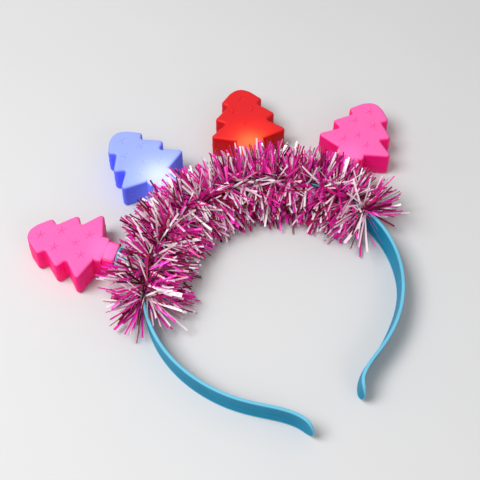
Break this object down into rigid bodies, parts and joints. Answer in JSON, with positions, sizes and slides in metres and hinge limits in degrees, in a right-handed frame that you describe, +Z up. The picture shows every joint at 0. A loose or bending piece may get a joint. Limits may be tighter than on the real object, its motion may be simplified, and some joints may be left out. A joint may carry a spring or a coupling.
{
  "type": "light-up christmas tree headband",
  "caption": "Bent plastic headband lying flat, with a foil tinsel garland round its crown and soft hollow tree figures that light up from sockets on the band.",
  "frame": {"origin": "on the floor, under the middle of the overall box", "axes": "+Z up from the floor that it lies on, +Y from the band's tips to its crown, +X to the right of that"},
  "size_m": [0.2116, 0.2066, 0.0333],
  "materials": {
    "band_plastic": "light blue moulded plastic",
    "pink_tree_plastic": "soft translucent pink plastic, lit from inside",
    "blue_tree_plastic": "soft translucent blue plastic, lit from inside",
    "red_tree_plastic": "soft translucent red plastic, lit from inside",
    "lamp_lens": "clear lamp body, lit",
    "tinsel_foil": "metallised pink film strips"
  },
  "bodies": {
    "root": {"headband": "band_plastic", "socket_pink_left": "band_plastic", "socket_blue": "band_plastic", "socket_red": "band_plastic", "socket_pink_right": "band_plastic", "pink_tree_left": "pink_tree_plastic", "pink_tree_right": "pink_tree_plastic", "blue_tree": "blue_tree_plastic", "red_tree": "red_tree_plastic", "led_pink_left": "lamp_lens", "led_blue": "lamp_lens", "led_red": "lamp_lens", "led_pink_right": "lamp_lens", "tinsel_garland": "tinsel_foil"}
  },
  "joints": []
}
